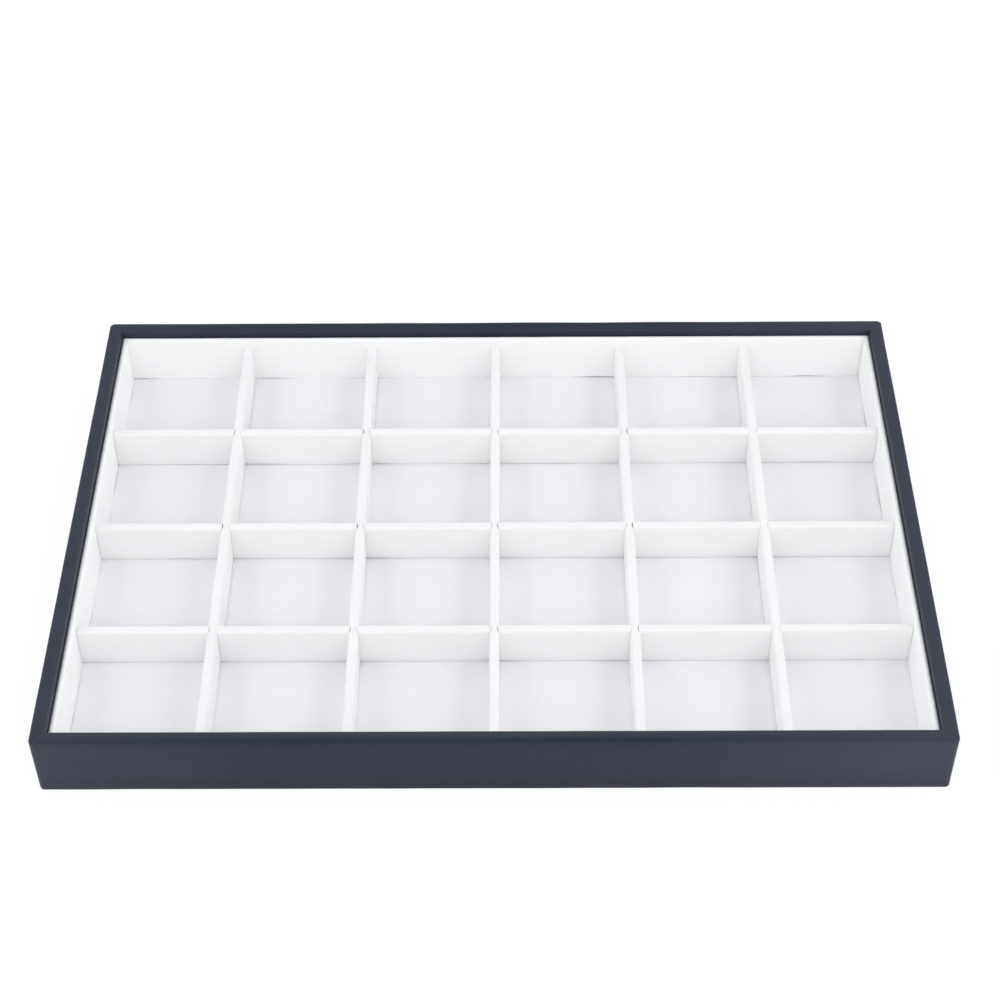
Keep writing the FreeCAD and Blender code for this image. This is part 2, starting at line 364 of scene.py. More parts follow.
def make_dark_leatherette():
    """Blue-black pressed leatherette: painted light at its ends, wear and a painted highlight along the inner
    rim, painted shade at its foot.
    """
    finish, tree, shader, place = new_finish("dark_leatherette_skin", Specular_IOR_Level=0.15)
    tone = use_group(tree, cloudy_tone, place, Clouds_per_metre=22.0)["Tone"]
    grain = use_group(tree, pebble_grain, place, Cells_per_metre=1500.0)["Height"]
    colour = shade_between(tree, weighed(tree, tone, grain, BODY_CLOUDS), *BODY_SHADES)
    patchy = span(tree, tone, *PATCHES)
    split = add(tree, "SeparateXYZ", Vector=place)
    # painted light: the colour turns paler towards both ends
    from_middle = maths(tree, "SUBTRACT", split.outputs["X"], PAINTED_LIGHT_MIDDLE)
    aside = maths(tree, "ABSOLUTE", from_middle, 0.0)
    ends_lit = add(tree, "MapRange", SMOOTH, Value=aside, From_Min=PAINTED_LIGHT_FROM, From_Max=PAINTED_LIGHT_TO)
    painted_end_light = maths(tree, "MULTIPLY", ends_lit.outputs["Result"], patchy)
    colour = shade_between(tree, painted_end_light, colour, PAINTED_LIGHT_SHADE)
    # wear and painted highlight along the inner rim, read from the mesh attribute
    wear_and_highlight = add(tree, "Attribute", {"attribute_name": "wear_and_highlight"}).outputs["Fac"]
    worn_and_lit = maths(tree, "MULTIPLY", maths(tree, "MULTIPLY", wear_and_highlight, patchy), WEAR_AND_HIGHLIGHT_SHARE)
    colour = shade_between(tree, worn_and_lit, colour, WEAR_AND_HIGHLIGHT_SHADE)
    # painted shade: the colour grows darker towards the foot, near the table
    height = split.outputs["Z"]
    foot = add(tree, "MapRange", SMOOTH, Value=height, From_Max=FOOT_SHADE_TOP, To_Min=FOOT_PAINTED_SHADE, To_Max=1.0)
    shaded = add(tree, "VectorMath", {"operation": "SCALE"}, Vector=colour, Scale=foot.outputs["Result"])
    satin = span(tree, tone, low=0.42, high=0.36)
    coat(tree, shader, shaded.outputs["Vector"], satin, grain, depth=0.0001, strength=0.7)
    return finish


dark_leatherette = make_dark_leatherette()
print(dark_leatherette.name, len(dark_leatherette.node_tree.nodes), "nodes")

# %% [markdown]
# ### White leatherette
# The liner and the dividers are covered in smooth white leatherette with a very fine grain. Over padding it
# is a little duller than over board. One function makes both and is told what differs, so they stay kin.

# %% White leatherette
def make_white_leatherette(name, dull, clear, cells_per_metre, grain_depth):
    """Smooth white leatherette with a fine grain and a faint change of shade between two whites."""
    finish, tree, shader, place = new_finish(name, Specular_IOR_Level=0.35)
    tone = use_group(tree, cloudy_tone, place, Clouds_per_metre=30.0)["Tone"]
    grain = use_group(tree, pebble_grain, place, Cells_per_metre=cells_per_metre)["Height"]
    colour = shade_between(tree, tone, dull, clear)
    coat(tree, shader, colour, span(tree, tone, low=0.55, high=0.48), grain, grain_depth, strength=0.4)
    return finish


white_leatherette = make_white_leatherette(
    "white_leatherette_skin", dull=(0.94, 0.942, 0.945), clear=(0.96, 0.961, 0.963),
    cells_per_metre=1900.0, grain_depth=0.00005)
padded_leatherette = make_white_leatherette(
    "padded_leatherette_skin", dull=(0.893, 0.895, 0.898), clear=(0.918, 0.92, 0.922),
    cells_per_metre=1700.0, grain_depth=0.00006)
print(white_leatherette.name, padded_leatherette.name)

# %% [markdown]
# ### Floor lining
# The floor is a short brushed lining, cool white and quite matt. Its nap is the fibre speckle, drawn out
# along the depth of the tray. The nap drives roughness and bump and has a share in the shade, so that a
# darker fibre also lies lower.

# %% Floor lining
LINING_SHADES = ((0.9, 0.902, 0.912), (0.925, 0.927, 0.937))
CLOUD_SHARE = 0.6          # share of the shade that the slow tone decides, and not the nap


def make_floor_lining():
    """Short brushed lining with a slow change of tone and a fine nap."""
    finish, tree, shader, place = new_finish(
        "brushed_lining", Specular_IOR_Level=0.2, Sheen_Weight=0.08, Sheen_Roughness=0.5)
    tone = use_group(tree, cloudy_tone, place, Clouds_per_metre=18.0)["Tone"]
    nap = use_group(tree, fibre_speckle, place, Fibres_per_metre=1400.0, Stretch=(1.0, 0.35, 1.0))["Speckle"]
    colour = shade_between(tree, weighed(tree, tone, nap, CLOUD_SHARE), *LINING_SHADES)
    coat(tree, shader, colour, span(tree, nap, low=0.85, high=0.75), nap, depth=0.00004, strength=0.4)
    return finish


floor_lining = make_floor_lining()
print(floor_lining.name, len(floor_lining.node_tree.nodes), "nodes")

# %% [markdown]
# ### Plain stock
# What the covers hide is plain stock: brown fibre board in the case, grey board in the liner and the
# dividers, and drawn steel brads. Dark felt lies below. All are short fibres or streaks between two shades,
# so one function with the fibre speckle makes the four, each with its own shades, scale and stretch.

# %% Felt, boards and steel
def make_stock(name, shades, per_metre, stretch, roughness, depth, strength, **constants):
    """Stock of short fibres or streaks between two shades."""
    finish, tree, shader, place = new_finish(name, **constants)
    fibres = use_group(tree, fibre_speckle, place, Fibres_per_metre=per_metre, Stretch=stretch)["Speckle"]
    colour = shade_between(tree, fibres, *shades)
    coat(tree, shader, colour, span(tree, fibres, *roughness), fibres, depth, strength)
    print(name, len(tree.nodes), "nodes")
    return finish


felt = make_stock(
    "felt_pad", shades=((0.012, 0.013, 0.016), (0.035, 0.037, 0.043)), per_metre=900.0,
    stretch=(1.0, 0.6, 1.0), roughness=(0.95, 0.85), depth=0.00015, strength=0.7,
    Specular_IOR_Level=0.15, Sheen_Weight=0.06, Sheen_Roughness=0.6)
fibre_board = make_stock(
    "fibre_board_raw", shades=((0.2, 0.12, 0.06), (0.36, 0.23, 0.12)), per_metre=1600.0,
    stretch=(1.0, 1.0, 2.5), roughness=(0.8, 0.65), depth=0.00005, strength=0.5, Specular_IOR_Level=0.25)
grey_board = make_stock(
    "grey_board_raw", shades=((0.24, 0.23, 0.21), (0.4, 0.38, 0.35)), per_metre=1200.0,
    stretch=(1.0, 1.0, 1.0), roughness=(0.8, 0.65), depth=0.00005, strength=0.5, Specular_IOR_Level=0.25)
brad_steel = make_stock(
    "drawn_steel", shades=((0.4, 0.39, 0.37), (0.58, 0.57, 0.55)), per_metre=4000.0,
    stretch=(1.0, 0.08, 1.0), roughness=(0.5, 0.3), depth=0.00002, strength=0.3, Metallic=1.0)

# %% [markdown]
# ## The hard pieces
# The boards, the floor card and the brads are right as they are in CAD: flat stock, cut square. They keep
# their solids and only get a finish. Most of them hide under the covers, and show at gaps and when the
# dividers are lifted out.

# %% Finish the boards and brads
def dress(node_name, finish):
    """Give a CAD node a finish in place of its plain one."""
    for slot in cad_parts[node_name].material_slots:
        slot.material = finish


for node_name in sorted(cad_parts):
    if node_name.endswith("_wall_board") or node_name == "base_board":
        dress(node_name, fibre_board)
    elif node_name.endswith("_board") or node_name == "floor_card":
        dress(node_name, grey_board)
dress("corner_brads", brad_steel)
print("boards and brads dressed")

# %% [markdown]
# ## A bench for new pieces
# Each new piece is shaped as a bmesh and ends up the same way: a mesh at the origin with smooth faces and
# crisp folds and one finish, hung on the body that it moves with, while the CAD solids that it stands for are
# hidden. Soft goods are never quite straight, so there are waves as well: noise read at a place, which gives
# the same waves each time.

# %% Bench helpers
FOLD_ANGLE = math.radians(42)


def off_the_bench(bm, name, finish, body, slot, *nodes):
    """Turn a bmesh into a finished piece of the tray."""
    piece = new_object(bm, name, finish)
    mesh = piece.data
    mesh.polygons.foreach_set("use_smooth", [True] * len(mesh.polygons))
    mesh.set_sharp_from_angle(angle=FOLD_ANGLE)
    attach(piece, body)
    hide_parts(*nodes)
    print(name, "of", len(mesh.polygons), "faces")
    return piece


def thicken(piece, name, thick, even=False):
    """Give a sheet its thickness, behind its face."""
    thickness = piece.modifiers.new(name, "SOLIDIFY")
    thickness.thickness = thick
    thickness.offset = -1.0
    thickness.use_even_offset = even


def set_in_place(bm, crosswise, middle):
    """Turn a piece shaped along X if it runs crosswise, and move it to its middle."""
    if crosswise:
        bmesh.ops.rotate(bm, cent=(0, 0, 0), matrix=Matrix.Rotation(math.pi / 2, 3, "Z"), verts=bm.verts)
    bmesh.ops.translate(bm, vec=(middle.x, middle.y, 0), verts=bm.verts)


print("bench ready")

# %% Sheets and cuts
CUT_SNAP = 1e-7            # a cut that passes so close to a vertex goes through it


def flat_sheet(length, depth, step=math.inf):
    """A flat bmesh about the origin, divided by about a step."""
    bm = bmesh.new()
    columns, rows = [max(1, int(side / step)) for side in (length, depth)]
    bmesh.ops.create_grid(bm, x_segments=columns, y_segments=rows, size=0.5)
    bmesh.ops.scale(bm, vec=(length, depth, 1.0), verts=bm.verts)
    return bm


def round_corners(bm, corners, radius, steps):
    """Round some corners of a flat outline."""
    bmesh.ops.bevel(
        bm, geom=corners, offset=radius, offset_type="OFFSET", segments=steps, profile=0.5,
        affect="VERTICES", material=-1)


def pull(bm, way):
    """Extrude flat faces into solids, and point all faces outwards."""
    made = bmesh.ops.extrude_face_region(bm, geom=bm.faces[:])["geom"]
    far_side = [item for item in made if isinstance(item, bmesh.types.BMVert)]
    bmesh.ops.translate(bm, vec=way, verts=far_side)
    bmesh.ops.recalc_face_normals(bm, faces=bm.faces)


def slice_at(bm, place, across, clear_outer=False):
    """Cut everything at a plane, and throw away what lies beyond it if asked to."""
    everything = bm.verts[:] + bm.edges[:] + bm.faces[:]
    bmesh.ops.bisect_plane(
        bm, geom=everything, plane_co=place, plane_no=across, dist=CUT_SNAP, clear_outer=clear_outer)


def both_sides(distances):
    """Distances to one side and then to the other."""
    return [side * distance for side in (-1, 1) for distance in distances]


print("cutting tools ready")

# %% Soft waves
SEED_WAYS = (0.37, 0.71)   # how far a seed moves a wave in Y and Z, as shares of its way in X
GAPE = 1.8                 # how wide and how suddenly a seam gapes
GAPE_POWER = 1.3


def ripple(point, wave, seed=0.0):
    """A slow wave through space between -1 and 1, about one swell per wave length."""
    shift = Vector((seed, seed * SEED_WAYS[0], seed * SEED_WAYS[1]))
    return noise.noise(Vector(point) / wave + shift)


def swelling(point, wave, seed=0.0):
    """The same wave between 0 and 1."""
    return 0.5 + 0.5 * ripple(point, wave, seed)


def opening(point, wave, seed):
    """A wave that is 0 for half of its way and rises now and then, as a seam gapes in places."""
    return max(0.0, GAPE * ripple(point, wave, seed)) ** GAPE_POWER


def ramp(value, low, high):
    """0 below low, 1 above high, and a smooth step between."""
    share = min(1.0, max(0.0, (value - low) / (high - low)))
    return share * share * (3 - 2 * share)


print("waves ready")

# %% [markdown]
# ## The dark wrap
# One strip of leatherette goes round the case. It starts as a hem under the base, climbs the wall, rolls
# over the rim and turns down inside. That is a section dragged round a rounded rectangle. It could be a
# curve with a bevel, but then the corners could not be mitred. So one loop is drawn, and extruded step by
# step along the section, and each new loop is moved to its inset and height.

# %% Sizes of the wrap
wrap_low, wrap_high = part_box("outer_wrap")
tray_length = wrap_high.x - wrap_low.x
tray_depth = wrap_high.y - wrap_low.y
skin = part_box("front_wall_board")[0].y - wrap_low.y
rim_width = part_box("front_liner_cover")[0].y - wrap_low.y
CORNER_ROUND = 0.002
EDGE_ROUND = 0.0008
INNER_ROUND = 0.0012       # the soft edge of the rim that looks into the well
RIM_CROWN = 0.0002         # how much the rim falls from its middle to its two sides
TURN_IN = 0.014
HEM = 0.012
print("skin", round(1000 * skin, 2), "mm, rim", round(1000 * rim_width, 2), "mm")

# %% Section of the wrap
ARC_STEPS = 6
HEM_STEPS = 4
FACE_STEPS = 10
RIM_STEPS = 6
TURN_IN_STEPS = 6


def arc(inset, height, radius, start):
    """Points of a quarter turn about a centre, from an angle in degrees, clockwise as seen from the left."""
    turns = [math.radians(start - 90 * k / ARC_STEPS) for k in range(ARC_STEPS + 1)]
    return [(inset + radius * math.cos(turn), height + radius * math.sin(turn)) for turn in turns]


def run(first, last, steps):
    """Points of a straight stretch, without its two ends."""
    shares = [k / steps for k in range(1, steps)]
    return [(first[0] + s * (last[0] - first[0]), first[1] + s * (last[1] - first[1])) for s in shares]


def crowned(points):
    """Lower points towards both sides of the rim, so that its top is a little round."""
    return [(inset, height - RIM_CROWN * (2 * inset / rim_width - 1) ** 2) for inset, height in points]


foot = arc(EDGE_ROUND, wrap_low.z + EDGE_ROUND, EDGE_ROUND, 270)
outer_edge = arc(EDGE_ROUND, wrap_high.z - EDGE_ROUND, EDGE_ROUND, 180)
inner_edge = arc(rim_width - INNER_ROUND, wrap_high.z - INNER_ROUND, INNER_ROUND, 90)
rim_top = crowned(run(outer_edge[-1], inner_edge[0], RIM_STEPS))
outer_edge, inner_edge = crowned(outer_edge), crowned(inner_edge)
hem_end = (HEM, wrap_low.z)
turn_in_end = (rim_width, wrap_high.z - TURN_IN)
section = (
    [hem_end] + run(hem_end, foot[0], HEM_STEPS) + foot
    + run(foot[-1], outer_edge[0], FACE_STEPS) + outer_edge
    + rim_top + inner_edge
    + run(inner_edge[-1], turn_in_end, TURN_IN_STEPS) + [turn_in_end]
)
print("section of", len(section), "points")

# %% Plan loop of the wrap
PLAN_STEP = 0.004
SEAM_FROM_END = 0.032
SEAM_PLACE = wrap_low.x + SEAM_FROM_END
SEAM_GAP = 0.00004
SEAM_CUTS = (SEAM_GAP / 2, 0.00025, 0.0006)
MITRE_CUTS = (0.0005, 0.0011, 0.0022)
core_x = tray_length / 2 - CORNER_ROUND
core_y = tray_depth / 2 - CORNER_ROUND

bm = flat_sheet(tray_length, tray_depth)
round_corners(bm, bm.verts[:], CORNER_ROUND, ARC_STEPS)
bmesh.ops.delete(bm, geom=bm.faces[:], context="FACES_ONLY")
for edge in [edge for edge in bm.edges if edge.calc_length() > 2 * CORNER_ROUND]:
    bmesh.ops.subdivide_edges(bm, edges=[edge], cuts=int(edge.calc_length() / PLAN_STEP))
for place in both_sides([core_x - inset for inset in MITRE_CUTS]):
    slice_at(bm, (place, 0, 0), (1, 0, 0))
for place in both_sides([core_y - inset for inset in MITRE_CUTS]):
    slice_at(bm, (0, place, 0), (0, 1, 0))
for aside in both_sides(SEAM_CUTS):
    slice_at(bm, (SEAM_PLACE + aside, 0, 0), (1, 0, 0))
seam_edges = [
    edge for edge in bm.edges
    if edge.verts[0].co.y > core_y and all(abs(v.co.x - SEAM_PLACE) < SEAM_GAP for v in edge.verts)
]
bmesh.ops.delete(bm, geom=seam_edges, context="EDGES")
print("loop of", len(bm.verts), "points, opened at", len(seam_edges), "seam")

# %% Drag the loop along the section
MITRE_REACH = 0.02
RIM_WEAR_AND_HIGHLIGHT = (0.3, 0.8)      # where the wear and painted highlight start and are full, as shares of the rim from outside
FRONT_WEAR_AND_HIGHLIGHT = (0.05, 0.7)   # the same along the front
BACK_SPARED = 0.5          # share of the wear and painted highlight that the back is spared
MERGE_REACH = 1e-6
plan = bm.verts.layers.float_vector.new("plan")
# the rim's wear and painted highlight, kept on the mesh for the finish
wear_and_highlight = bm.verts.layers.float.new("wear_and_highlight")


def from_sides(point):
    """How far a point lies inside the nearer end of the tray, and inside its nearer long side."""
    return tray_length / 2 - abs(point.x), tray_depth / 2 - abs(point.y)


def shrunk(point, inset):
    """A point of the outer plan, moved in by an inset, with the corners kept on their mitres."""
    core = Vector((min(core_x, max(-core_x, point.x)), min(core_y, max(-core_y, point.y)), 0))
    out = (Vector((point.x, point.y, 0)) - core).normalized()
    past = max(0.0, inset - CORNER_ROUND)
    share_x = min(1.0, max(0.0, (abs(core.x) - core_x) / MITRE_REACH + 1))
    share_y = min(1.0, max(0.0, (abs(core.y) - core_y) / MITRE_REACH + 1))
    core.x -= math.copysign(past * share_x, core.x)
    core.y -= math.copysign(past * share_y, core.y)
    return core + out * max(0.0, CORNER_ROUND - inset)


def worn_and_highlighted(point, inset, height):
    """How much wear and painted highlight a spot has: most along the inner edge of the rim, less at the back,
    and not outside.
    """
    top = ramp(height, wrap_high.z - 2 * EDGE_ROUND, wrap_high.z - EDGE_ROUND)
    reached = 1 - BACK_SPARED * ramp(point.y, core_y, tray_depth / 2)
    to_end, to_side = from_sides(point)
    first, last = FRONT_WEAR_AND_HIGHLIGHT if point.y < 0 and to_side < to_end else RIM_WEAR_AND_HIGHLIGHT
    return top * reached * ramp(inset, first * rim_width, last * rim_width)


def settle(vertex, inset, height):
    """Move a vertex of the newest loop to its place."""
    vertex.co = shrunk(vertex[plan], inset)
    vertex.co.z = height
    vertex[wear_and_highlight] = worn_and_highlighted(vertex[plan], inset, height)


for vertex in bm.verts:
    vertex[plan] = vertex.co
    settle(vertex, *section[0])
loop = bm.edges[:]
for inset, height in section[1:]:
    made = bmesh.ops.extrude_edge_only(bm, edges=loop)["geom"]
    loop = [item for item in made if isinstance(item, bmesh.types.BMEdge)]
    for vertex in [item for item in made if isinstance(item, bmesh.types.BMVert)]:
        settle(vertex, inset, height)
bmesh.ops.remove_doubles(bm, verts=bm.verts, dist=MERGE_REACH)
bmesh.ops.recalc_face_normals(bm, faces=bm.faces)
print("wrap surface of", len(bm.faces), "faces")

# %% Mitre folds and waves
MITRE_DEPTH = 0.00012
MITRE_HALF = 0.0006
CORNER_REACH = 1.2 * rim_width     # a spot this near to an end and to a long side is in a corner
SEAM_DEPTH = 0.00012
SEAM_HALF = 0.00025
WAVE_DEPTH = 0.00012
OUTER_WAVE = 1.2                   # how much more the outside waves than the inner edge of the rim
WAVE_LENGTH = 0.03

bm.normal_update()
moves = {}
for vertex in bm.verts:
    to_end, to_side = from_sides(vertex.co)
    aside = abs(to_end - to_side) / math.sqrt(2)
    on_top = ramp(vertex.co.z, wrap_high.z - 2 * EDGE_ROUND, wrap_high.z - RIM_CROWN)
    near_corner = max(to_end, to_side) < CORNER_REACH
    fold = MITRE_DEPTH * on_top * math.exp(-(aside / MITRE_HALF) ** 2) if near_corner else 0.0
    loose = 1.0 + OUTER_WAVE * (1 - ramp(min(to_end, to_side), 0.0, rim_width / 2))
    wave = loose * WAVE_DEPTH * swelling(vertex.co, WAVE_LENGTH)
    on_back = (1 - on_top) * ramp(vertex.co.y, core_y, tray_depth / 2)
    dent = SEAM_DEPTH * on_back * math.exp(-((vertex.co.x - SEAM_PLACE) / SEAM_HALF) ** 2)
    moves[vertex] = vertex.normal * -(fold + wave + dent)
for vertex, move in moves.items():
    vertex.co += move
bm.verts.layers.float_vector.remove(plan)
wrap = off_the_bench(bm, "leatherette_wrap", dark_leatherette, "tray", "dark_leatherette", "outer_wrap")
thicken(wrap, "skin", skin, even=True)

# %% [markdown]
# ## Covered panels
# The liner panels round the well and the dividers are made alike: a board with a cover that goes up one
# side, over the top and down the other. The section is a small arch. It is drawn once with a rounded top,
# pulled along the panel by an extrusion, and cut into short lengths so that it can be shaped like soft
# goods. Its sides get their points in the outline itself: a subdivision would join them across the hollow.
# A later cut could bridge the two hollow end faces as well, so these are made triangles.

# %% Arch section
TOP_STEPS = 8
SIDE_STEPS = 6
END_FACING = 0.9           # how squarely a face looks along a panel if it is one of its ends


def arch(bm, length, thick, low, high, board_thick, board_top, edge_round, step):
    """A cover along X, centred on the origin: closed, round along its top, and open below for its board."""
    half, inner = thick / 2, board_thick / 2
    rise = (high - edge_round - low) / SIDE_STEPS
    heights = [low + rise * number for number in range(SIDE_STEPS)]
    outline = [(-half, height) for height in heights]
    outline += [(-half, high), (half, high)]
    outline += [(half, height) for height in reversed(heights)]
    outline += [(inner, low), (inner, board_top), (-inner, board_top), (-inner, low)]
    ring = [bm.verts.new((-length / 2, y, z)) for y, z in outline]
    bm.faces.new(ring)
    round_corners(bm, ring[SIDE_STEPS:SIDE_STEPS + 2], edge_round, TOP_STEPS)
    pull(bm, (length, 0, 0))
    along = [edge for edge in bm.edges if abs(edge.verts[0].co.x - edge.verts[1].co.x) > length / 2]
    bmesh.ops.subdivide_edges(bm, edges=along, cuts=int(length / step), use_grid_fill=True)
    bm.normal_update()
    bmesh.ops.triangulate(bm, faces=[face for face in bm.faces if abs(face.normal.x) > END_FACING])


print("arch section ready")

# %% [markdown]
# ## The white liner
# Four covered panels stand round the well and hold the turned-in edge of the wrap. Their covers are thin,
# so they stay nearly flat, but the lower edge of each is cut by hand: it wanders, and the gap above the floor
# shows as a thin uneven line. At the corners the covers are mitred, which a slanting bisect and a fill make.

# %% Liner covers
LINER_ROUND = 0.0012
LINER_STEP = 0.002
LINER_WAVE = 0.00012
LINER_WAVE_LENGTH = 0.02
LINER_EDGE = 0.0004
LINER_EDGE_LENGTH = 0.018
LINER_SEEDS = (3.1, 7.7)   # the seed of the first panel's waves, and the step to the next
NEAR = 0.00001             # two measures that differ less are the same
# the side of each panel, shaped along X, that will face the well
WELL_SIDES = {"front": 1, "rear": -1, "left": -1, "right": 1}
liner_low = Vector((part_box("left_liner_cover")[0].x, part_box("front_liner_cover")[0].y, 0))
liner_high = Vector((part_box("right_liner_cover")[1].x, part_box("rear_liner_cover")[1].y, 0))


def mitre(bm, length, thick, well_side):
    """Cut both ends of a panel aslant, so that it is shorter on the side of the well, and close the cuts."""
    for end in (-1, 1):
        slice_at(bm, (end * (length - thick) / 2, 0, 0), (end, well_side, 0), clear_outer=True)
        bmesh.ops.holes_fill(bm, edges=[edge for edge in bm.edges if edge.is_boundary], sides=0)


def make_liner(side, well_side, seed):
    """The cover of one liner panel, shaped along X and set in place on its side of the well."""
    cover_low, cover_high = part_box(side + "_liner_cover")
    board_low, board_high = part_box(side + "_liner_board")
    size, board = cover_high - cover_low, board_high - board_low
    crosswise = size.y > size.x
    length = (liner_high - liner_low).y if crosswise else (liner_high - liner_low).x
    thick, board_thick = min(size.x, size.y), min(board.x, board.y)
    bm = bmesh.new()
    arch(bm, length, thick, cover_low.z, cover_high.z, board_thick, board_high.z, LINER_ROUND, LINER_STEP)
    mitre(bm, length, thick, well_side)
    for vertex in bm.verts:
        along, across, height = vertex.co
        outside = abs(across) > board_thick / 2 + skin / 4 or height > board_high.z + skin / 4
        if height < cover_low.z + NEAR:
            vertex.co.z += LINER_EDGE * opening((along, across, 0), LINER_EDGE_LENGTH, seed)
        if outside:
            swell = LINER_WAVE * swelling(vertex.co, LINER_WAVE_LENGTH, seed)
            vertex.co.y -= math.copysign(swell, across)
            vertex.co.z -= swell * ramp(height, cover_high.z - LINER_ROUND, cover_high.z)
    set_in_place(bm, crosswise, (cover_low + cover_high) / 2)
    piece = off_the_bench(
        bm, side + "_liner_skin", white_leatherette, "tray", "white_leatherette", side + "_liner_cover")


for number, (side, well_side) in enumerate(WELL_SIDES.items()):
    make_liner(side, well_side, LINER_SEEDS[0] + LINER_SEEDS[1] * number)

# %% [markdown]
# ## The floor lining
# The floor is a card with a short brushed lining glued over it. A plain grid would do, but dividers that
# stand in one place press faint grooves into a lining, and these show when the grid is lifted out. So the
# grid is cut on both sides of every divider line, and the strips between the cuts are pushed down.

# %% Floor lining sheet
FLOOR_STEP = 0.004
GROOVE_DEPTH = 0.00012
GROOVE_EDGE = 0.0006
FLOOR_WAVE = 0.00004
FLOOR_WAVE_LENGTH = 0.025
ROWS = ("front", "middle", "rear")
CROSS_NUMBERS = (1, 2, 3, 4, 5)


def middle_line(node, axis):
    """Where the middle of a CAD node lies, 0 for along the tray and 1 for across it."""
    low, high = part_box(node)
    return (low[axis] + high[axis]) / 2


lining_low, lining_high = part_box("floor_lining")
cross_lines = [middle_line("cross_divider_%d_cover" % number, 0) for number in CROSS_NUMBERS]
long_lines = [middle_line("long_divider_%s_cover" % row, 1) for row in ROWS]
divider_low, divider_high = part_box("cross_divider_1_cover")
divider_thick = divider_high.x - divider_low.x


def groove(place, lines):
    """How deep a spot is pressed by the nearest divider of a set."""
    aside = min(abs(place - line) for line in lines)
    return 1 - ramp(aside, divider_thick / 2 - GROOVE_EDGE, divider_thick / 2 + GROOVE_EDGE)


def make_lining():
    """The lining: a grid with grooves under the dividers, given its thickness downwards."""
    size = lining_high - lining_low
    bm = flat_sheet(size.x, size.y, FLOOR_STEP)
    bmesh.ops.translate(bm, vec=(0, 0, lining_high.z), verts=bm.verts)
    groove_edges = both_sides([divider_thick / 2 + share * GROOVE_EDGE for share in (-1, 0, 1)])
    for place in [line + aside for line in cross_lines for aside in groove_edges]:
        slice_at(bm, (place, 0, 0), (1, 0, 0))
    for place in [line + aside for line in long_lines for aside in groove_edges]:
        slice_at(bm, (0, place, 0), (0, 1, 0))
    for vertex in bm.verts:
        pressed = max(groove(vertex.co.x, cross_lines), groove(vertex.co.y, long_lines))
        vertex.co.z -= GROOVE_DEPTH * pressed + FLOOR_WAVE * swelling(vertex.co, FLOOR_WAVE_LENGTH)
    piece = off_the_bench(bm, "lining_sheet", floor_lining, "tray", "floor_lining", "floor_lining")
    thicken(piece, "lining", size.z - GROOVE_DEPTH - FLOOR_WAVE)


make_lining()

# %% [markdown]
# ## The padded dividers
# A divider is a strip of board in a foam-backed cover. Long ones are slotted from above and cross ones from
# below, so they lock like an egg box. Where a cross divider sits in a slot its padding is squeezed to a
# waist, and the slot, narrow at the board, flares in the padding. A divider seldom sits in the middle of its
# slot, so a short dark slit stays open on one side and is shut on the other. The cover starts as the arch,
# gets its waists and soft uneven form by moving vertices, and a Boolean cuts the slots last, as cut edges.

# %% Divider sizes
DIVIDER_ROUND = 0.0011
DIVIDER_STEP = 0.001
END_PRESS = 0.00025      # how far the padding reaches past the CAD solid, towards the liner
WAIST_FLAT = 0.00075     # half of the stretch that the slot in the board grips
WAIST_REACH = 0.0023     # where the padding is full again
WAIST_CUTS = (WAIST_FLAT, 0.0011, 0.0014, 0.0017, 0.002, WAIST_REACH)
WAIST_DIP = 0.0001
SHOULDER_RISE = 0.7      # how far squeezed padding rises into the rounding of the top
PINCH_FADE = 0.0015      # height over which a waist ends above the lap
SLOT_WIDTH = 0.00279
SLOT_EASE = 0.00003      # a hair of room between a slot's flank and the waist in it
HIDDEN_SLIT = 0.0001     # room on each side where a long divider stands in the slot of a cross one
# the slits to the left and right of each cross divider
SLITS = ((0.0003, 0.00001), (0.0004, 0.0001), (0.0001, 0.0003), (0.0001, 0.0004), (0.00001, 0.00002))
SLIT_SHARES = (0.5, 1.0, 0.85)     # how far the slits of the front, middle and rear row are open
LAP_CLEAR = 0.0003
lap_height = (divider_low.z + divider_high.z) / 2
print("divider", round(1000 * divider_thick, 2), "mm thick, lap at", round(1000 * lap_height, 2), "mm")

# %% Softness of a divider
PAD_WAVE = 0.00010
PAD_WAVE_LENGTH = 0.016
TOP_WAVE_LENGTH = 0.02
PAD_EDGE = 0.00035
PAD_EDGE_LENGTH = 0.02
PAD_SAG = 0.0001              # how far the lower edge may hang under the CAD solid
SAG_REACH = (0.003, 0.012)    # distances from a crossing where the sag starts and is full
PAD_TUCK = 0.00015
TUCK_TOP = 0.004              # how high above the foot the tuck ends
HEM_LINES = (0.0013, 0.0018)
HEM_STEP = 0.00018
print("hem between", HEM_LINES, "m above the foot")

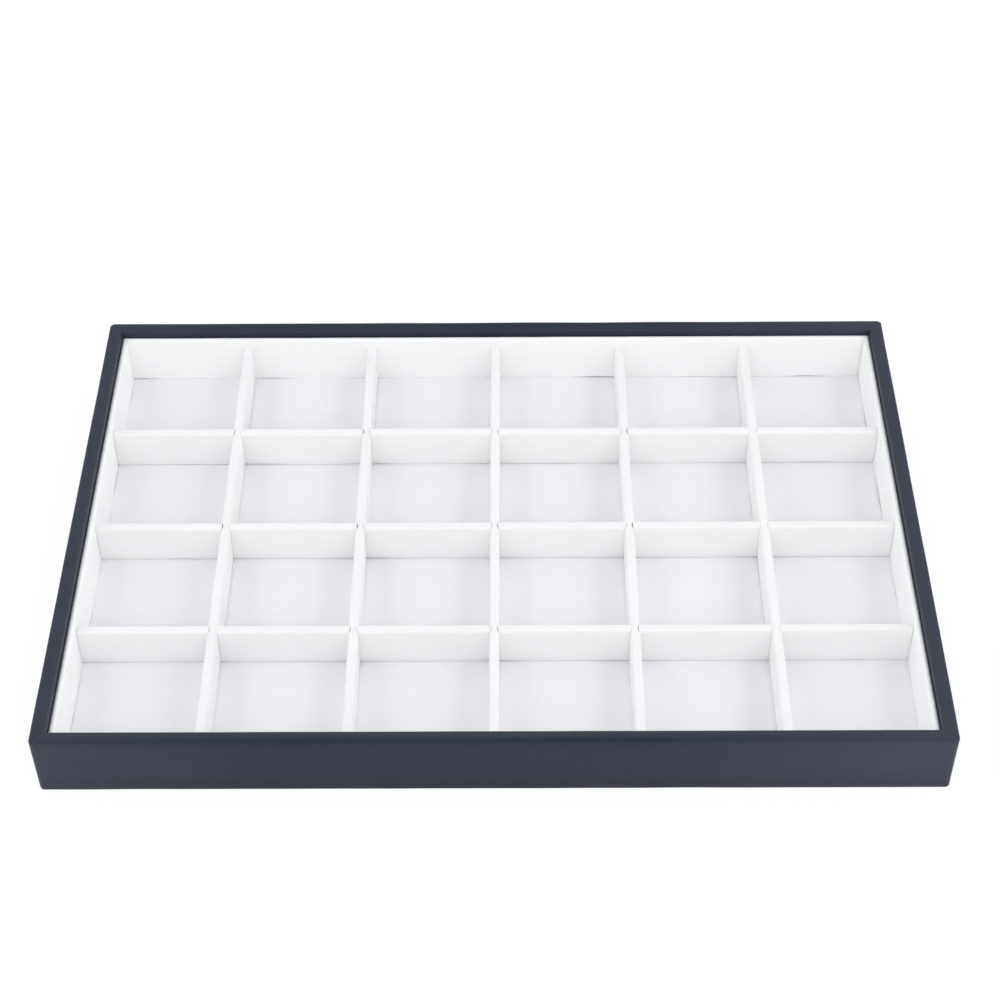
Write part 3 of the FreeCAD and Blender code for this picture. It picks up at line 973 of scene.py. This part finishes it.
# %% Shape of a padded cover
def pad_cover(bm, crossings, board_half, board_top, pinch_top, seed):
    """Squeeze an arch at its crossings, tuck in its foot and make it as uneven as soft goods are."""
    half = divider_thick / 2
    for vertex in bm.verts:
        along, across, height = vertex.co
        inside = abs(across) < board_half + NEAR and height < board_top + NEAR
        crossing = min(crossings, key=lambda place: abs(along - place))
        near = abs(along - crossing)
        waist = SLOT_WIDTH / 2 - crossings[crossing][0 if across > 0 else 1]
        if height < divider_low.z + NEAR:
            vertex.co.z += PAD_EDGE * opening((along, across, 0), PAD_EDGE_LENGTH, seed)
            vertex.co.z -= PAD_SAG * ramp(near, *SAG_REACH)
        if inside:
            continue
        pinch = 1 - ramp(height, pinch_top, pinch_top + PINCH_FADE)
        squeeze = pinch * (1 - ramp(near, WAIST_FLAT, WAIST_REACH))
        above_foot = height - divider_low.z
        tuck = PAD_TUCK * (1 - ramp(above_foot, 0.0, TUCK_TOP))
        tuck += HEM_STEP * (1 - ramp(above_foot, *HEM_LINES))
        swell = PAD_WAVE * swelling(vertex.co, PAD_WAVE_LENGTH, seed)
        full = half - tuck - swell
        width = full + squeeze * (waist - full)
        share = max(0.0, (abs(across) - board_half) / (half - board_half))
        if abs(across) > board_half:
            vertex.co.y = math.copysign(board_half + share * (width - board_half), across)
        if height > board_top:
            vertex.co.z += squeeze * (SHOULDER_RISE * (divider_high.z - height) - WAIST_DIP)
            vertex.co.z -= PAD_WAVE * swelling((along, 0, 1), TOP_WAVE_LENGTH, seed)


print("pad shaper ready")

# %% Slots
def slot_outline(place):
    """A slot seen from above: narrow at the board, and wider in the padding, which gives way."""
    nearer, full = SLOT_WIDTH / 2, divider_thick / 2
    widths = [nearer + (full - nearer) * ramp(cut, WAIST_FLAT, WAIST_REACH) for cut in WAIST_CUTS]
    flank = [(width + SLOT_EASE, cut) for width, cut in zip(widths, WAIST_CUTS)]
    flank.append((full + SLOT_EASE, 2 * divider_thick))
    right = [(x, -y) for x, y in reversed(flank)] + flank
    return [(place + x, y) for x, y in right] + [(place - x, y) for x, y in reversed(right)]


def cut_slots(piece, crossings, low, high, turned):
    """Cut a slot through a cover at each crossing, from low to high."""
    bm = bmesh.new()
    for place in crossings:
        bm.faces.new([bm.verts.new((x, y, low)) for x, y in slot_outline(place)])
    pull(bm, (0, 0, high - low))
    corners = [piece.matrix_world @ Vector(corner) for corner in piece.bound_box]
    set_in_place(bm, turned, sum(corners, Vector()) / len(corners))
    cutter = new_object(bm, "slot_cutter", piece.data.materials[0])
    slots = piece.modifiers.new("slots", "BOOLEAN")
    slots.operation = "DIFFERENCE"
    slots.solver = "MANIFOLD"
    slots.object = cutter
    bpy.context.view_layer.update()
    cut_mesh = bpy.data.meshes.new_from_object(piece.evaluated_get(bpy.context.evaluated_depsgraph_get()))
    piece.modifiers.clear()
    piece.data = cut_mesh
    piece.data.set_sharp_from_angle(angle=FOLD_ANGLE)
    bpy.data.objects.remove(cutter)
    print(piece.name, "after", len(crossings), "slots:", len(cut_mesh.polygons), "faces")


print("slot cutter ready")

# %% Make the dividers
SLOT_OVERRUN = 0.01
LONG_SEEDS = (11.3, 5.9)   # first seed and step, as for the liner panels
CROSS_SEEDS = (41.7, 6.3)


def make_divider(node, body, crossings, slot_low, slot_high, pinch_top, seed):
    """One padded divider cover, shaped along X, set in place and slotted. Crossings give their slits."""
    cover_low, cover_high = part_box(node + "_cover")
    board_low, board_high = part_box(node + "_board")
    size, board = cover_high - cover_low, board_high - board_low
    crosswise = size.y > size.x
    length, board_thick = max(size.x, size.y), min(board.x, board.y)
    bm = bmesh.new()
    arch(
        bm, length + 2 * END_PRESS, divider_thick, cover_low.z, cover_high.z, board_thick, board_high.z,
        DIVIDER_ROUND, DIVIDER_STEP)
    for hem in HEM_LINES:
        slice_at(bm, (0, 0, divider_low.z + hem), (0, 0, 1))
    for place in [crossing + aside for crossing in crossings for aside in both_sides(WAIST_CUTS)]:
        slice_at(bm, (place, 0, 0), (1, 0, 0))
    pad_cover(bm, crossings, board_thick / 2, board_high.z, pinch_top, seed)
    set_in_place(bm, crosswise, (cover_low + cover_high) / 2)
    piece = off_the_bench(bm, node + "_pad", padded_leatherette, body, "padded_leatherette", node + "_cover")
    cut_slots(piece, crossings, slot_low, slot_high, crosswise)


below, above = divider_low.z - SLOT_OVERRUN, divider_high.z + SLOT_OVERRUN
lap_low, lap_high = lap_height - LAP_CLEAR / 2, lap_height + LAP_CLEAR / 2
hidden = {line: (HIDDEN_SLIT, HIDDEN_SLIT) for line in cross_lines}
for number, row in enumerate(ROWS):
    seed = LONG_SEEDS[0] + LONG_SEEDS[1] * number
    make_divider("long_divider_" + row, "long_dividers", hidden, lap_low, above, lap_high, seed)
for number, (left_slit, right_slit) in zip(CROSS_NUMBERS, SLITS):
    node = "cross_divider_%d" % number
    seed = CROSS_SEEDS[0] + CROSS_SEEDS[1] * number
    shown = {line: (share * left_slit, share * right_slit) for line, share in zip(long_lines, SLIT_SHARES)}
    make_divider(node, node, shown, below, lap_high, above, seed)

# %% [markdown]
# ## The base felt
# A felt sheet glued under the tray hides the hem and keeps the tray from scratching a counter. It is cut with
# a knife, so its corners are barely rounded and its edge is not quite straight.

# %% Base felt sheet
FELT_ROUND = 0.0015
FELT_STEP = 0.005
FELT_CORNER_STEPS = 4
FELT_WANDER = 0.0003
FELT_WANDER_LENGTH = 0.02

felt_low, felt_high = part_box("base_felt")


def make_felt_sheet():
    """The felt: a rounded flat sheet with a slightly uneven edge and its own thickness."""
    size = felt_high - felt_low
    thick = wrap_low.z - felt_low.z
    bm = flat_sheet(size.x, size.y, FELT_STEP)
    corners = [v for v in bm.verts if len(v.link_edges) == 2]
    round_corners(bm, corners, FELT_ROUND, FELT_CORNER_STEPS)
    for vertex in bm.verts:
        vertex.co.z = felt_low.z + thick
        if vertex.is_boundary:
            inward = -Vector((vertex.co.x, vertex.co.y, 0)).normalized()
            vertex.co += inward * FELT_WANDER * swelling(vertex.co, FELT_WANDER_LENGTH)
    piece = off_the_bench(bm, "felt_sheet", felt, "tray", "base_felt", "base_felt")
    thicken(piece, "felt", thick)


make_felt_sheet()
